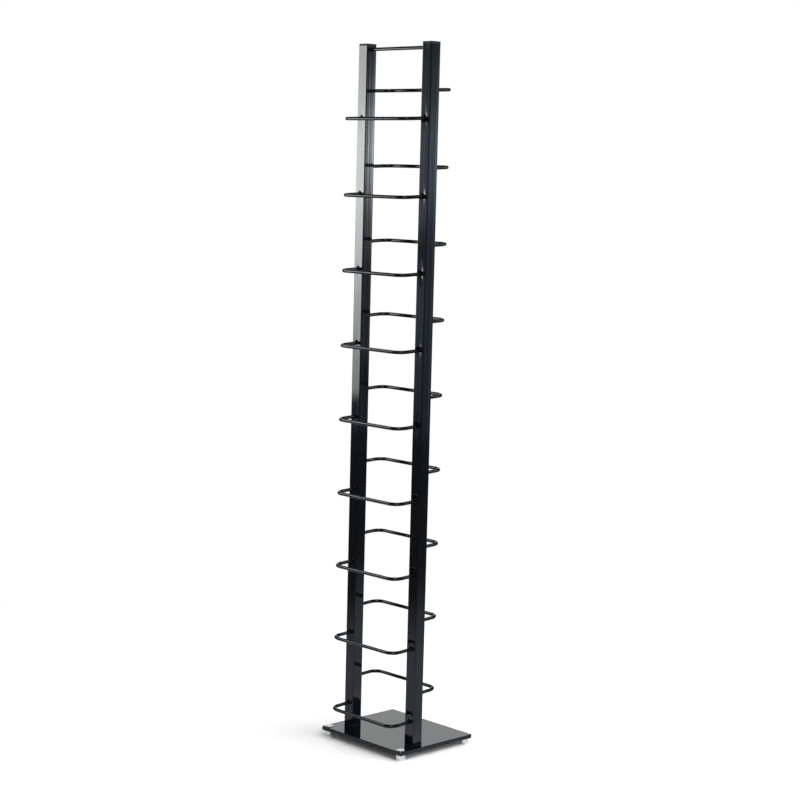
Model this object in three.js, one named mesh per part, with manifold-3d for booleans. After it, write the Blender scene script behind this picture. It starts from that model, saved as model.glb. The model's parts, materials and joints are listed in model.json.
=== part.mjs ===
// A slim free-standing tower that stores compact disc cases. Two square steel tubes stand on a black glass
// plate. Bent wire hoops hook into slots in the front and rear walls of the tubes. A case rests its lower
// edge on a front hoop and leans back on the rear hoop above it. A round rail ties the tops of the tubes.
//
// Millimetres, +Z up. X runs along the line of the two posts, the front is -Y. The origin is on the floor,
// in the middle of the space that the tower takes up.

import * as THREE from 'three';
import { mergeVertices } from 'three/addons/utils/BufferGeometryUtils.js';
import Module from 'manifold-3d';

const wasm = await Module();
wasm.setup();

// Clearances
const fitGap = 0.3; // between two pieces that seat on or in each other
const cutOverrun = 2; // how far a cutting shape runs past the wall that it cuts

// Glass plate
const plateSide = 27.5; // from the centre of a post to the side edge
const plateFront = 60; // from the line of the posts to the front edge
const plateRear = 140; // from the line of the posts to the rear edge
const plateThickness = 8;
const plateCornerRadius = 2;
const plateArris = 0.8; // ground edge

// Posts, square steel tube
const postGap = 155; // clear width between the posts, for the disc cases
const postSide = 25;
const postWall = 1.5;
const postCornerRadius = 2; // outside
const postInnerRadius = 0.5;

// Tiers of hoops, heights above the top of the glass. A hoop's height is where its arms leave the posts.
const tierCount = 9;
const tierPitch = 148.5;
const lowestFrontHoop = 47;
const rearHoopLift = 54.5; // a rear hoop above the front hoop of its tier

// Hoops, round steel wire
const wireDiameter = 7;
const hoopReach = 62; // centre of the post to the centreline of the cross bar
const hoopRise = 2.4; // cross bar over its slots at the rear, and under them at the front
const hoopBendRadius = 20; // to the centreline
const hookBendRadius = 6; // to the centreline
const hookLeg = 10; // straight end that stands up inside the post
const slotHeadroom = 0.8; // free height of a slot over the bend of the hook

// Top rail, round steel bar between the posts
const railDiameter = 7;
const railAboveHoop = 79.5; // over the slots of the highest rear hoop
const railBelowTop = 11; // under the top face of the caps

// Post caps, pushed into the tops of the tubes
const capRim = 4;
const capSkirt = 3;
const capSkirtWall = 1.8;
const capChamfer = 0.6;

// Pad between each tube and the glass
const gasketThickness = 1;

// Fixing of the posts through the glass
const boltDiameter = 8;
const boltHeadAcross = 13; // across the flats
const boltHeadHeight = 5.3;
const boltEngagement = 13; // shank inside the nut
const nutHeight = 16; // square nut inside the tube
const nutCornerRadius = 1.6;
const glassHoleClearance = 1; // hole in the glass, all round a shank
const steelWasherDiameter = 22;
const steelWasherThickness = 1.6;
const softWasherDiameter = 26;
const softWasherThickness = 1;

// Feet
const footDiameter = 19;
const footHeight = 9;
const footInset = 11; // centre of a foot to the edges of the glass
const footChamfer = 0.8;
const padDiameter = 17;
const padHeight = 3;
const padChamfer = 0.5;
const screwDiscDiameter = 17;
const screwDiscThickness = 1.2;
const screwDiscChamfer = 0.4;
const screwShankDiameter = 5;
const screwEngagement = 6; // shank inside the foot

// Facets
const wireSides = 10;
const hookBendSteps = 3;
const hoopBendSteps = 5;
const roundSides = 24;
const boreSides = 12;
const slotEndSegments = 3;
const cornerSegments = 2;
const hexSides = 6;

// Levels and places worked out from the sizes
const wireRadius = wireDiameter / 2;
const postHalf = postSide / 2;
const postInnerHalf = postHalf - postWall;
const postX = (postGap + postSide) / 2;
const plateWidth = 2 * (postX + plateSide);
const postY = (hoopReach + wireRadius - plateRear) / 2;
const glassBottom = padHeight + footHeight;
const glassTop = glassBottom + plateThickness;
const postBottom = glassTop + gasketThickness;
const railZ = glassTop + lowestFrontHoop + (tierCount - 1) * tierPitch + rearHoopLift + railAboveHoop;
const towerTop = railZ + railBelowTop;
const postLength = towerTop - capRim - postBottom;
const hookLegOut = postInnerHalf - fitGap - wireRadius; // hook leg from the centre of the post
const wallMiddle = postHalf - postWall / 2; // from the centre of the post
const slotRadius = wireRadius + fitGap;
const slotTop = hookBendRadius + slotHeadroom; // top of a slot over the centre of the wire
const frontFootY = postY - plateFront + footInset;
const rearFootY = postY + plateRear - footInset;
const footX = plateWidth / 2 - footInset;
const sides = { left: -1, right: 1 };

const blackSteel = new THREE.MeshStandardMaterial({ color: 0x1d2227, roughness: 0.22, metalness: 0.3 });
const blackWire = new THREE.MeshStandardMaterial({ color: 0x15191c, roughness: 0.18, metalness: 0.3 });
const blackGlass = new THREE.MeshStandardMaterial({ color: 0x14181a, roughness: 0.04, metalness: 0 });
const blackPlastic = new THREE.MeshStandardMaterial({ color: 0x191d21, roughness: 0.4, metalness: 0 });
const blackRubber = new THREE.MeshStandardMaterial({ color: 0x161616, roughness: 0.85, metalness: 0 });
const clearPad = new THREE.MeshStandardMaterial({ color: 0xdfe0de, roughness: 0.5, metalness: 0 });
const satinAluminium = new THREE.MeshStandardMaterial({ color: 0xd8dadb, roughness: 0.3, metalness: 0.9 });
const zincSteel = new THREE.MeshStandardMaterial({ color: 0xa9acad, roughness: 0.4, metalness: 0.9 });

const tower = new THREE.Group();

function addMesh(name, geometry, material, x, y, z) {
  const mesh = new THREE.Mesh(geometry, material);
  mesh.name = name;
  mesh.position.set(x, y, z);
  tower.add(mesh);
  return mesh;
}

// A closed mesh as a solid that can be joined and cut
function toSolid(geometry) {
  const bare = geometry.clone();
  bare.deleteAttribute('normal');
  bare.deleteAttribute('uv');
  const merged = mergeVertices(bare);
  const mesh = new wasm.Mesh({
    numProp: 3,
    vertProperties: new Float32Array(merged.attributes.position.array),
    triVerts: new Uint32Array(merged.index.array),
  });
  return new wasm.Manifold(mesh);
}

function fromSolid(solid) {
  const mesh = solid.getMesh();
  const geometry = new THREE.BufferGeometry();
  geometry.setAttribute('position', new THREE.BufferAttribute(mesh.vertProperties, mesh.numProp));
  geometry.setIndex(new THREE.BufferAttribute(mesh.triVerts, 1));
  geometry.computeVertexNormals();
  return geometry;
}

function cut(geometry, cutters) {
  let solid = toSolid(geometry);
  for (const cutter of cutters) {
    solid = solid.subtract(toSolid(cutter));
  }
  return fromSolid(solid);
}

function join(first, second) {
  return fromSolid(toSolid(first).add(toSolid(second)));
}

// An upright round bar with its lower face at z
function uprightBar(diameter, z, height, facets) {
  const bar = new THREE.CylinderGeometry(diameter / 2, diameter / 2, height, facets);
  bar.rotateX(Math.PI / 2);
  bar.translate(0, 0, z + height / 2);
  return bar;
}

function extrudeUp(shape, height, curveSegments) {
  return new THREE.ExtrudeGeometry(shape, { depth: height, bevelEnabled: false, curveSegments });
}

// A square with round corners, centred on the origin
function roundedSquare(path, side, radius) {
  return roundedRectangle(path, -side / 2, side / 2, -side / 2, side / 2, radius);
}

function roundedRectangle(path, left, right, front, rear, radius) {
  const quarter = Math.PI / 2;
  path.moveTo(left + radius, front);
  path.lineTo(right - radius, front);
  path.absarc(right - radius, front + radius, radius, -quarter, 0, false);
  path.lineTo(right, rear - radius);
  path.absarc(right - radius, rear - radius, radius, 0, quarter, false);
  path.lineTo(left + radius, rear);
  path.absarc(left + radius, rear - radius, radius, quarter, 2 * quarter, false);
  path.lineTo(left, front + radius);
  path.absarc(left + radius, front + radius, radius, 2 * quarter, 3 * quarter, false);
  return path;
}

// A turned disc with chamfered rims, from z = 0 up
function turnedDisc(diameter, height, chamfer) {
  const radius = diameter / 2;
  const profile = [
    new THREE.Vector2(0, 0),
    new THREE.Vector2(radius - chamfer, 0),
    new THREE.Vector2(radius, chamfer),
    new THREE.Vector2(radius, height - chamfer),
    new THREE.Vector2(radius - chamfer, height),
    new THREE.Vector2(0, height),
  ];
  const disc = new THREE.LatheGeometry(profile, roundSides);
  disc.rotateX(Math.PI / 2);
  return disc;
}

function washer(diameter, bore, height) {
  const disc = uprightBar(diameter, 0, height, roundSides);
  return cut(disc, [uprightBar(bore, -cutOverrun, height + 2 * cutOverrun, boreSides)]);
}

// The centreline of a bent wire: straight runs with a round bend at each inner corner. It is sampled only at
// the ends of the wire and at even steps round each bend.
class BentWire extends THREE.Curve {
  constructor(corners, bends) {
    super();
    this.stations = [];
    const last = corners.length - 1;
    const start = new THREE.Vector3().subVectors(corners[1], corners[0]).normalize();
    this.stations.push({ point: corners[0], tangent: start });
    for (let i = 1; i < last; i += 1) {
      this.addBend(corners[i - 1], corners[i], corners[i + 1], bends[i - 1]);
    }
    const end = new THREE.Vector3().subVectors(corners[last], corners[last - 1]).normalize();
    this.stations.push({ point: corners[last], tangent: end });
  }

  addBend(before, corner, after, bend) {
    const inward = new THREE.Vector3().subVectors(corner, before).normalize();
    const outward = new THREE.Vector3().subVectors(after, corner).normalize();
    const turn = inward.angleTo(outward);
    const setback = bend.radius * Math.tan(turn / 2);
    const axis = new THREE.Vector3().crossVectors(inward, outward).normalize();
    const start = corner.clone().addScaledVector(inward, -setback);
    const toStart = new THREE.Vector3().crossVectors(inward, axis).multiplyScalar(bend.radius);
    const centre = start.clone().sub(toStart);
    for (let step = 0; step <= bend.steps; step += 1) {
      const angle = (turn * step) / bend.steps;
      const point = toStart.clone().applyAxisAngle(axis, angle).add(centre);
      const tangent = inward.clone().applyAxisAngle(axis, angle);
      this.stations.push({ point, tangent });
    }
  }

  station(share) {
    return this.stations[Math.round(share * (this.stations.length - 1))];
  }

  getPoint(share, target = new THREE.Vector3()) {
    return target.copy(this.station(share).point);
  }

  getPointAt(share, target = new THREE.Vector3()) {
    return this.getPoint(share, target);
  }

  getTangent(share, target = new THREE.Vector3()) {
    return target.copy(this.station(share).tangent);
  }

  getTangentAt(share, target = new THREE.Vector3()) {
    return this.getTangent(share, target);
  }
}

// A U hoop. Each arm runs straight out of a post, and its inner end is bent up behind the wall of the post
// as a hook. Rear arms slope up a little and front arms slope down, so a case leans back safely. The centre
// of the two posts' line is at y = 0, and facing is -1 for the front, +1 for the rear.
function hoopGeometry(facing) {
  const hookTop = hookBendRadius + hookLeg;
  const slope = (facing * hoopRise) / (hoopReach - wallMiddle);
  const hookZ = slope * (hookLegOut - wallMiddle);
  const barZ = facing * hoopRise;
  const corners = [
    new THREE.Vector3(-postX, facing * hookLegOut, hookTop),
    new THREE.Vector3(-postX, facing * hookLegOut, hookZ),
    new THREE.Vector3(-postX, facing * hoopReach, barZ),
    new THREE.Vector3(postX, facing * hoopReach, barZ),
    new THREE.Vector3(postX, facing * hookLegOut, hookZ),
    new THREE.Vector3(postX, facing * hookLegOut, hookTop),
  ];
  const hookBend = { radius: hookBendRadius, steps: hookBendSteps };
  const hoopBend = { radius: hoopBendRadius, steps: hoopBendSteps };
  const centreline = new BentWire(corners, [hookBend, hoopBend, hoopBend, hookBend]);
  const section = new THREE.Shape();
  section.absarc(0, 0, wireRadius, 0, 2 * Math.PI, false);
  return new THREE.ExtrudeGeometry(section, {
    extrudePath: centreline,
    steps: centreline.stations.length - 1,
    curveSegments: wireSides / 2,
    bevelEnabled: false,
  });
}

function hoopHeight(tier, lift) {
  return glassTop + lowestFrontHoop + tier * tierPitch + lift;
}

// The slot for one hook, as a cutter that stands in the front or rear wall of a post
function slotCutter(facing, height) {
  const outline = new THREE.Shape();
  outline.absarc(0, 0, slotRadius, Math.PI, 2 * Math.PI, false);
  outline.absarc(0, slotTop - slotRadius, slotRadius, 0, Math.PI, false);
  outline.closePath();
  const depth = postWall + 2 * cutOverrun;
  const slot = extrudeUp(outline, depth, slotEndSegments);
  slot.rotateX(Math.PI / 2);
  const outerY = facing < 0 ? -postInnerHalf + cutOverrun : postHalf + cutOverrun;
  slot.translate(0, outerY, height - postBottom);
  return slot;
}

// One post with its hook slots and the hole for the rail, which faces the other post
function postGeometry(side) {
  const outline = roundedSquare(new THREE.Shape(), postSide, postCornerRadius);
  outline.holes.push(roundedSquare(new THREE.Path(), 2 * postInnerHalf, postInnerRadius));
  const cutters = [];
  for (let tier = 0; tier < tierCount; tier += 1) {
    cutters.push(slotCutter(-1, hoopHeight(tier, 0)));
    cutters.push(slotCutter(1, hoopHeight(tier, rearHoopLift)));
  }
  const railHole = uprightBar(railDiameter + 2 * fitGap, 0, postWall + 2 * cutOverrun, boreSides);
  railHole.rotateY(Math.PI / 2);
  const innerFaceX = side < 0 ? postInnerHalf - cutOverrun : -postHalf - cutOverrun;
  railHole.translate(innerFaceX, 0, railZ - postBottom);
  cutters.push(railHole);
  return cut(extrudeUp(outline, postLength, cornerSegments), cutters);
}

// A cap with a flat rim over the end of the tube and a hollow skirt inside it
function capGeometry() {
  const top = new THREE.ExtrudeGeometry(roundedSquare(new THREE.Shape(), postSide, postCornerRadius), {
    depth: capRim - capChamfer,
    bevelEnabled: true,
    bevelThickness: capChamfer,
    bevelSize: capChamfer,
    bevelOffset: -capChamfer,
    bevelSegments: 1,
    curveSegments: cornerSegments,
  });
  const lowerBevel = new THREE.BoxGeometry(2 * postSide, 2 * postSide, capChamfer);
  lowerBevel.translate(0, 0, -capChamfer / 2);
  const rim = cut(top, [lowerBevel]);
  const skirtSide = 2 * (postInnerHalf - fitGap);
  const skirtShape = roundedSquare(new THREE.Shape(), skirtSide, nutCornerRadius);
  skirtShape.holes.push(roundedSquare(new THREE.Path(), skirtSide - 2 * capSkirtWall, postInnerRadius));
  const skirt = extrudeUp(skirtShape, capSkirt + capRim / 2, cornerSegments);
  skirt.translate(0, 0, -capSkirt);
  return join(rim, skirt);
}

function nutGeometry() {
  const side = 2 * (postInnerHalf - fitGap);
  const block = extrudeUp(roundedSquare(new THREE.Shape(), side, nutCornerRadius), nutHeight, cornerSegments);
  const bore = uprightBar(boltDiameter + 2 * fitGap, -cutOverrun, nutHeight + 2 * cutOverrun, boreSides);
  return cut(block, [bore]);
}

function gasketGeometry() {
  const outline = roundedSquare(new THREE.Shape(), postSide, postCornerRadius);
  const sheet = extrudeUp(outline, gasketThickness, cornerSegments);
  const bore = boltDiameter + 2 * glassHoleClearance;
  return cut(sheet, [uprightBar(bore, -cutOverrun, gasketThickness + 2 * cutOverrun, boreSides)]);
}

// A hexagon bolt with its head down, its bearing face at z = 0
function boltGeometry() {
  const washers = steelWasherThickness + softWasherThickness;
  const shankLength = washers + plateThickness + gasketThickness + boltEngagement;
  const acrossCorners = boltHeadAcross / Math.cos(Math.PI / hexSides);
  const head = uprightBar(acrossCorners, -boltHeadHeight, boltHeadHeight, hexSides);
  const overlap = boltHeadHeight / 2;
  const shank = uprightBar(boltDiameter, -overlap, shankLength + overlap, boreSides);
  return join(head, shank);
}

function glassGeometry() {
  const shape = new THREE.Shape();
  roundedRectangle(shape, -plateWidth / 2, plateWidth / 2, -plateFront, plateRear, plateCornerRadius);
  const plate = new THREE.ExtrudeGeometry(shape, {
    depth: plateThickness - 2 * plateArris,
    bevelEnabled: true,
    bevelThickness: plateArris,
    bevelSize: plateArris,
    bevelOffset: -plateArris,
    bevelSegments: 1,
    curveSegments: cornerSegments,
  });
  plate.translate(0, 0, plateArris);
  const holes = [];
  for (const side of Object.values(sides)) {
    const drill = (diameter) => {
      const clearance = diameter + 2 * glassHoleClearance;
      return uprightBar(clearance, -cutOverrun, plateThickness + 2 * cutOverrun, boreSides);
    };
    const boltHole = drill(boltDiameter);
    boltHole.translate(side * postX, 0, 0);
    const screwHole = drill(screwShankDiameter);
    screwHole.translate(side * footX, footInset - plateFront, 0);
    holes.push(boltHole, screwHole);
  }
  return cut(plate, holes);
}

// A turned foot with a bore in its top face for the screw
function footGeometry() {
  const body = turnedDisc(footDiameter, footHeight, footChamfer);
  const depth = screwEngagement + fitGap;
  const bore = uprightBar(screwShankDiameter + 2 * fitGap, footHeight - depth, depth + cutOverrun, boreSides);
  return cut(body, [bore]);
}

// A screw with a flat disc head that lies on the glass, the underside of the head at z = 0
function discScrewGeometry() {
  const disc = turnedDisc(screwDiscDiameter, screwDiscThickness, screwDiscChamfer);
  const overlap = screwDiscThickness / 2;
  const length = plateThickness + screwEngagement;
  return join(disc, uprightBar(screwShankDiameter, -length, length + overlap, boreSides));
}

function addBase() {
  addMesh('base_glass', glassGeometry(), blackGlass, 0, postY, glassBottom);
  const rows = { front: frontFootY, rear: rearFootY };
  for (const [row, y] of Object.entries(rows)) {
    for (const [name, side] of Object.entries(sides)) {
      addMesh(`foot_${row}_${name}`, footGeometry(), satinAluminium, side * footX, y, padHeight);
      const pad = turnedDisc(padDiameter, padHeight, padChamfer);
      addMesh(`foot_pad_${row}_${name}`, pad, clearPad, side * footX, y, 0);
    }
  }
  for (const [name, side] of Object.entries(sides)) {
    addMesh(`foot_screw_${name}`, discScrewGeometry(), satinAluminium, side * footX, frontFootY, glassTop);
  }
}

function addPost(name, side) {
  const x = side * postX;
  addMesh(`post_${name}`, postGeometry(side), blackSteel, x, postY, postBottom);
  addMesh(`post_cap_${name}`, capGeometry(), blackPlastic, x, postY, towerTop - capRim);
  addMesh(`post_gasket_${name}`, gasketGeometry(), blackRubber, x, postY, glassTop);
  addMesh(`post_nut_${name}`, nutGeometry(), zincSteel, x, postY, postBottom);
  const bore = boltDiameter + 2 * fitGap;
  const softWasher = washer(softWasherDiameter, bore, softWasherThickness);
  const softZ = glassBottom - softWasherThickness;
  addMesh(`soft_washer_${name}`, softWasher, blackRubber, x, postY, softZ);
  const steelWasher = washer(steelWasherDiameter, bore, steelWasherThickness);
  const steelZ = softZ - steelWasherThickness;
  addMesh(`steel_washer_${name}`, steelWasher, zincSteel, x, postY, steelZ);
  addMesh(`base_bolt_${name}`, boltGeometry(), zincSteel, x, postY, steelZ);
}

function addRail() {
  const length = 2 * (postX + postInnerHalf - fitGap);
  const rail = uprightBar(railDiameter, -length / 2, length, wireSides);
  rail.rotateY(Math.PI / 2);
  addMesh('top_rail', rail, blackWire, 0, postY, railZ);
}

function addHoops() {
  for (let tier = 0; tier < tierCount; tier += 1) {
    const number = tier + 1;
    addMesh(`front_hoop_${number}`, hoopGeometry(-1), blackWire, 0, postY, hoopHeight(tier, 0));
    addMesh(`rear_hoop_${number}`, hoopGeometry(1), blackWire, 0, postY, hoopHeight(tier, rearHoopLift));
  }
}

addBase();
for (const [name, side] of Object.entries(sides)) {
  addPost(name, side);
}
addRail();
addHoops();

export default tower;
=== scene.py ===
"""Dresses a slim disc storage tower: enamelled posts and wire hoops on a black glass plate."""

import json
import math

import bmesh
import bpy
from mathutils import Matrix, Vector


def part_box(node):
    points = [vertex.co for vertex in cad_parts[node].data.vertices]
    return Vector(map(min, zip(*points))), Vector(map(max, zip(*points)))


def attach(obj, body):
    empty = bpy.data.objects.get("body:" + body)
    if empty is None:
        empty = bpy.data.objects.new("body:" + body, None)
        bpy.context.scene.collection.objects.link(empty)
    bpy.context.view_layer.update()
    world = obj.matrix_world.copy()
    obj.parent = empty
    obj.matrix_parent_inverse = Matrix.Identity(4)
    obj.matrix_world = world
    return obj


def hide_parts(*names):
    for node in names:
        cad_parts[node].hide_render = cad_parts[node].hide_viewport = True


bl_info = {
    "name": "Disc Storage Tower",
    "version": (1, 0, 0),
    "blender": (4, 5, 0),
    "location": "View3D > Sidebar > Tower",
    "description": "Builds the finished surfaces of a wire and glass storage tower around its frame",
    "category": "Object",
}

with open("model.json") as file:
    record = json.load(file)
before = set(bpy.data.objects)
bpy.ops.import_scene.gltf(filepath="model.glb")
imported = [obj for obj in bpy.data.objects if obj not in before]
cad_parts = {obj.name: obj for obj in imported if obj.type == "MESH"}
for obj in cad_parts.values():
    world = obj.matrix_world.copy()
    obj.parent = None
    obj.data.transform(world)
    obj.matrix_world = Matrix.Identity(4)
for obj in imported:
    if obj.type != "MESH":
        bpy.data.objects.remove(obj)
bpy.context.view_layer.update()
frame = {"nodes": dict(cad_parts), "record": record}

BODY = "root"
SIDES = ("left", "right")
ROWS = ("front", "rear")
FACING = {"front": -1, "rear": 1}
# The tiers of hoops, from the lowest up
TIERS = range(1, 1 + sum(name.startswith("front_hoop_") for name in frame["nodes"]))

X, Y, Z = range(3)
UP = Vector((0, 0, 1))
MM = 0.001
# Heights this close are the same, and points this close are one
NEAR = 0.01 * MM
WELD = 0.001 * MM
# How far a cutter runs past the faces that it cuts
OVERRUN = 1 * MM
# Cosine from which a direction counts as along an axis
ALIGNED = 0.99
# The rim of a cut wire is its only crease sharper than this
RIM_ANGLE = math.radians(60)

# Facets round a wire, a drilled hole, a turned piece and the studio floor
WIRE_SIDES = 24
HOLE_SIDES = 32
TURNED_SIDES = 64
FLOOR_SIDES = 96
# Facets along the bend of a hook and of a hoop, and over a corner or an edge
HOOK_STEPS = 8
HOOP_STEPS = 16
CORNER_STEPS = 8
PLATE_STEPS = 10
DISC_STEPS = 4
EASED_STEPS = 3
CHAMFER_STEPS = 2

# Settings and a colour that nodes share
ABSOLUTE = {"operation": "ABSOLUTE"}
DOT = {"operation": "DOT_PRODUCT"}
LENGTH = {"operation": "LENGTH"}
MULTIPLY = {"operation": "MULTIPLY"}
SCALE = {"operation": "SCALE"}
SUBTRACT = {"operation": "SUBTRACT"}
COLOUR_MIX = {"data_type": "RGBA"}
SMOOTH = {"interpolation_type": "SMOOTHSTEP"}
WHITE = (1, 1, 1, 1)

# What gloss sees of the walls: the slope of a ray, and how bright the wall is there, from 0 to 1
WALL_LOW, WALL_HIGH = -0.2, 0.6
LEFT_WALL = (
    (-0.17, 0.04), (-0.139, 0.095), (-0.109, 0.19), (-0.086, 0.24), (-0.063, 0.28), (-0.055, 0.2),
    (-0.047, 0.055), (-0.036, 0.08), (-0.026, 0.46), (-0.01, 0.37), (0.009, 0.43), (0.019, 0.41),
    (0.032, 0.27), (0.046, 0.25), (0.055, 0.19), (0.12, 0.13), (0.3, 0.08), (0.45, 0.04),
)
RIGHT_WALL = (
    (-0.17, 0.04), (-0.139, 0.2), (-0.109, 0.27), (-0.086, 0.31), (-0.063, 0.35), (-0.055, 0.3),
    (-0.047, 0.25), (-0.036, 0.3), (-0.026, 0.51), (-0.01, 0.9), (0.009, 0.93), (0.019, 0.97),
    (0.032, 0.47), (0.046, 0.46), (0.055, 0.3), (0.12, 0.16), (0.3, 0.08), (0.45, 0.04),
)
WALL_TINT = (1.58, 1.95, 2.34)
# The walls meet before and behind the camera, within this cosine to each side
WALL_SEAM = 0.3
# Upright patches round the walls: how fine and stretched, and their darkest and lightest share
PATCH_SCALE, PATCH_STRETCH = 40, 0.05
PATCH_LOW, PATCH_HIGH = 0.4, 1.6
# The soft box over the camera: its rise, the cosines of its soft edge, and its strength
LAMP_RISE = 0.74
LAMP_START, LAMP_END = 0.95, 0.975
LAMP_STRENGTH = 7.0
# Cosines from the camera's line at which the dark flags end, and how much light they leave
FLAG_START, FLAG_END = 0.15, 0.3
FLAG_SHARE = 0.25
# Cosines at the side edges of the white backdrop, and slopes at its top and foot
BACKDROP_START, BACKDROP_END = 0.88, 0.93
BACKDROP_FULL, BACKDROP_GONE = 0.33, 0.5
# Cosines at the edge of the soft key, and the light on matt surfaces outside and inside it
KEY_START, KEY_END = 0.7, 0.95
KEY_LOW, KEY_HIGH = 0.5, 2.9
# Distances, in metres, over which gloss sees the paper dim and cool down
SHEEN_START, SHEEN_END = 0.17, 0.3
SHEEN_NEAR = (0.9, 0.9, 0.9, 1)
SHEEN_FAR = (0.53, 0.61, 0.71, 1)
# What the camera sees of the paper, and what gloss sees of the floor beyond it
PAPER_SEEN = (1.08, 1.08, 1.08, 1)
FLOOR_GLOSS = 0.07
# A card hangs this far along the ray that a face of the left post mirrors. The axis is the one that the
# face is square to, and the share says how far the card reaches towards what the right post mirrors. The
# fade is the width of its soft edge, and the slopes are like those of a wall
CARD_DISTANCE = 1.2
CARDS = {
    "front_card": {
        "axis": Y, "share": 0.58, "width": 0.32, "fade": 0.01, "strength": 12.3, "tint": (0.96, 1, 0.99),
        "slopes": (
            (-0.1195, 0.0), (-0.1145, 0.3), (-0.109, 0.32), (-0.098, 0.38), (-0.084, 0.46),
            (-0.068, 0.55), (-0.06, 0.65), (-0.013, 1.0), (0.016, 0.97), (0.029, 0.8), (0.053, 0.65),
            (0.075, 0.65),
        ),
    },
    "side_card": {
        "axis": X, "share": 0.3, "width": 0.25, "fade": 0.07, "strength": 17.5, "tint": (0.92, 1, 1.08),
        "slopes": (
            (-0.13, 0.035), (-0.112, 0.018), (-0.104, 0.02), (-0.096, 0.05), (-0.052, 0.05),
            (-0.027, 0.2), (-0.01, 0.56), (0.009, 0.92), (0.019, 0.78), (0.032, 0.43), (0.046, 0.19),
            (0.064, 0.05),
        ),
    },
}


def srgb(code):
    """A hex colour of the screen as linear red, green and blue."""
    values = [int(code[i : i + 2], 16) / 255 for i in (1, 3, 5)]
    return tuple(v / 12.92 if v <= 0.04045 else ((v + 0.055) / 1.055) ** 2.4 for v in values)


def length(name, description, millimetres):
    """A length that a user may change, in metres inside Blender."""
    return bpy.props.FloatProperty(
        name=name, description=description, default=millimetres * MM, min=0, unit="LENGTH", precision=5
    )


def colour(name, description, code):
    """A colour that a user may change."""
    return bpy.props.FloatVectorProperty(
        name=name, description=description, default=srgb(code), min=0, max=1, size=3, subtype="COLOR"
    )


class TowerSizes(bpy.types.PropertyGroup):
    """Sizes of the tower's pieces that its frame's boxes don't give."""

    wire: length("Wire", "Diameter of the hoop wire and of the rail", 7)
    hoop_reach: length("Hoop reach", "Centre of a post to the middle of a hoop's cross bar", 62)
    hoop_rise: length("Hoop rise", "Cross bar over its slots at the rear, and under them at the front", 2.4)
    hoop_bend: length("Hoop bend", "Radius of the hoop's corners, to the middle of the wire", 20)
    hook_bend: length("Hook bend", "Radius of the bend behind the wall, to the middle of the wire", 6)
    hook_leg: length("Hook leg", "Straight end of the hook", 10)
    wire_end: length("Wire end", "Rounding of a cut wire's rim", 0.5)
    fit: length("Fit", "Gap between pieces that seat in each other", 0.3)
    headroom: length("Headroom", "Free height of a slot over the bend of the hook", 0.8)
    post_wall: length("Post wall", "Wall of the square tube", 1.5)
    post_corner: length("Post corner", "Outer corner radius of the square tube", 2)
    dish_reach: length("Dish reach", "How far to each side of a punched slot the wall is drawn in", 8)
    dish_length: length("Dish length", "How far over and under a punched slot the wall is drawn in", 30)
    dish_depth: length("Dish depth", "How deep the wall is drawn in at a punched slot", 0.23)
    cap_rim: length("Cap rim", "Thickness of the cap over the end of the tube", 4)
    cap_edge: length("Cap edge", "Rounding of the cap's top edge", 0.6)
    cap_skirt_wall: length("Cap skirt", "Wall of the skirt inside the tube", 1.8)
    glass_corner: length("Glass corner", "Corner radius of the plate", 2)
    glass_arris: length("Glass arris", "Ground edge of the plate", 0.8)
    hole_play: length("Hole play", "Play of a shank in the glass, all round", 1)
    bolt: length("Bolt", "Diameter of the base bolts", 8)
    screw: length("Screw", "Diameter of the foot screws", 5)
    foot_edge: length("Foot edge", "Chamfer of the feet", 0.8)
    pad_edge: length("Pad edge", "Rounding of the soft pads", 0.5)
    disc_edge: length("Disc edge", "Rounding of the screw discs", 0.4)
    washer_edge: length("Washer edge", "Rounding of the washers", 0.2)
    bolt_head: length("Bolt head", "Height of a base bolt's head", 5.3)
    bolt_edge: length("Bolt edge", "Chamfer of a base bolt's head", 0.6)


class TowerFinish(bpy.types.PropertyGroup):
    """Colours of the tower's finishes."""

    post: colour("Posts", "Blue black enamel of the square tubes", "#090c13")
    wire: colour("Wire", "Black enamel of the hoops and the rail", "#080a0c")
    glass: colour("Glass", "Body of the black glass", "#060c12")
    glass_edge: colour("Glass edge", "Ground edge of the black glass", "#04080e")
    cap: colour("Caps", "Moulded black plastic", "#0d1014")
    rubber: colour("Rubber", "Black sheet rubber", "#101010")
    aluminium: colour("Aluminium", "Turned feet and screw discs", "#dde0e3")
    pad: colour("Pads", "Milky soft plastic under the feet", "#e9ecea")
    zinc: colour("Zinc", "Bright zinc plate on the fixings", "#b9bcbd")


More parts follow.
